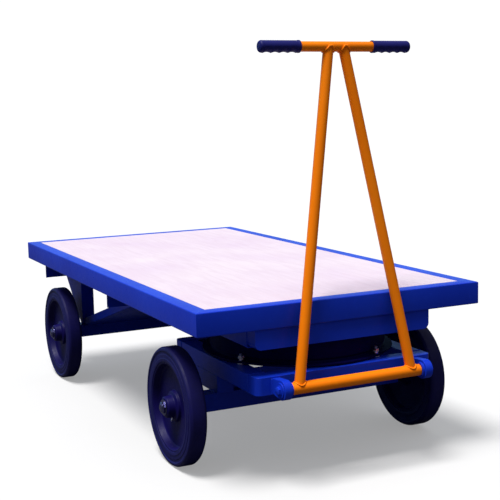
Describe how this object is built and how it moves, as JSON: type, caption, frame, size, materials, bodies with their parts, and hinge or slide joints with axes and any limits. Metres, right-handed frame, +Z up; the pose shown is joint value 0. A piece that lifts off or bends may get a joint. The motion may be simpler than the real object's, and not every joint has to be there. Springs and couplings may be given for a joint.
{
  "type": "platform trolley",
  "caption": "Flat-deck hauling trolley: plywood platform in a steel frame on four solid wheels, with a turntable-steered front bogie and a folding A-shaped drawbar.",
  "frame": {"origin": "on the floor, under the middle of the whole trolley's bounding box (deck and drawbar lugs)", "axes": "+Z up, +X across the deck to the right seen from behind the handle end looking along +Y, +Y from the handle end to the rear"},
  "size_m": [1.04, 2.089, 1.381],
  "materials": {
    "blue_paint": "gloss ultramarine powder coat",
    "orange_paint": "gloss orange powder coat",
    "black_paint": "satin black",
    "plywood": "pale birch plywood, matt",
    "tyre_rubber": "matt dark rubber",
    "wheel_centre": "satin dark navy",
    "zinc_steel": "bright zinc plated",
    "grip_rubber": "dark moulded grip"
  },
  "bodies": {
    "deck": {"deck_rail_left": "blue_paint", "deck_rail_right": "blue_paint", "deck_rail_front": "blue_paint", "deck_rail_rear": "blue_paint", "plywood_deck": "plywood", "deck_bearer_front": "blue_paint", "deck_bearer_rear": "blue_paint", "middle_cross_member": "blue_paint", "rear_cross_member": "blue_paint", "turntable_box_front": "blue_paint", "turntable_box_left": "blue_paint", "turntable_box_right": "blue_paint", "turntable_box_rear": "blue_paint", "turntable_upper_ring": "black_paint", "rear_bracket_left": "blue_paint", "rear_brace_left": "blue_paint", "rear_bracket_right": "blue_paint", "rear_brace_right": "blue_paint", "rear_brace_panel": "blue_paint", "rear_axle": "blue_paint", "wheel_rear_left_cap_nut": "zinc_steel", "wheel_rear_right_cap_nut": "zinc_steel"},
    "bogie": {"turntable_lower_ring": "black_paint", "turntable_ball_race": "zinc_steel", "turntable_stud_1": "zinc_steel", "turntable_stud_2": "zinc_steel", "turntable_stud_3": "zinc_steel", "turntable_stud_4": "zinc_steel", "bogie_frame_front": "blue_paint", "bogie_frame_rear": "blue_paint", "bogie_frame_left": "blue_paint", "axle_bracket_left": "blue_paint", "bogie_frame_right": "blue_paint", "axle_bracket_right": "blue_paint", "front_axle_panel": "blue_paint", "front_axle": "blue_paint", "wheel_front_left_cap_nut": "zinc_steel", "wheel_front_right_cap_nut": "zinc_steel", "drawbar_lug_left": "blue_paint", "drawbar_pivot_bolt_left": "blue_paint", "drawbar_lug_right": "blue_paint", "drawbar_pivot_bolt_right": "blue_paint"},
    "front_left_wheel": {"wheel_front_left_tyre": "tyre_rubber", "wheel_front_left_centre": "wheel_centre", "wheel_front_left_bearing": "zinc_steel"},
    "front_right_wheel": {"wheel_front_right_tyre": "tyre_rubber", "wheel_front_right_centre": "wheel_centre", "wheel_front_right_bearing": "zinc_steel"},
    "rear_left_wheel": {"wheel_rear_left_tyre": "tyre_rubber", "wheel_rear_left_centre": "wheel_centre", "wheel_rear_left_bearing": "zinc_steel"},
    "rear_right_wheel": {"wheel_rear_right_tyre": "tyre_rubber", "wheel_rear_right_centre": "wheel_centre", "wheel_rear_right_bearing": "zinc_steel"},
    "drawbar": {"drawbar_leg_left": "orange_paint", "grip_left": "grip_rubber", "drawbar_leg_right": "orange_paint", "grip_right": "grip_rubber", "drawbar_pivot_tube": "orange_paint", "drawbar_top_bar": "orange_paint"}
  },
  "joints": [
    {"name": "steer", "type": "hinge", "parent": "deck", "child": "bogie", "pos_m": [0, -0.6155, 0.38], "axis": [0, 0, 1], "range_deg": [-4, 4]},
    {"name": "drawbar_tilt", "type": "hinge", "parent": "bogie", "child": "drawbar", "pos_m": [0, -1.0135, 0.319], "axis": [1, 0, 0], "range_deg": [0, 112]},
    {"name": "front_left_roll", "type": "hinge", "parent": "bogie", "child": "front_left_wheel", "pos_m": [-0.46, -0.6155, 0.2], "axis": [1, 0, 0], "continuous": true},
    {"name": "front_right_roll", "type": "hinge", "parent": "bogie", "child": "front_right_wheel", "pos_m": [0.46, -0.6155, 0.2], "axis": [1, 0, 0], "continuous": true},
    {"name": "rear_left_roll", "type": "hinge", "parent": "deck", "child": "rear_left_wheel", "pos_m": [-0.46, 0.7295, 0.2], "axis": [1, 0, 0], "continuous": true},
    {"name": "rear_right_roll", "type": "hinge", "parent": "deck", "child": "rear_right_wheel", "pos_m": [0.46, 0.7295, 0.2], "axis": [1, 0, 0], "continuous": true}
  ]
}
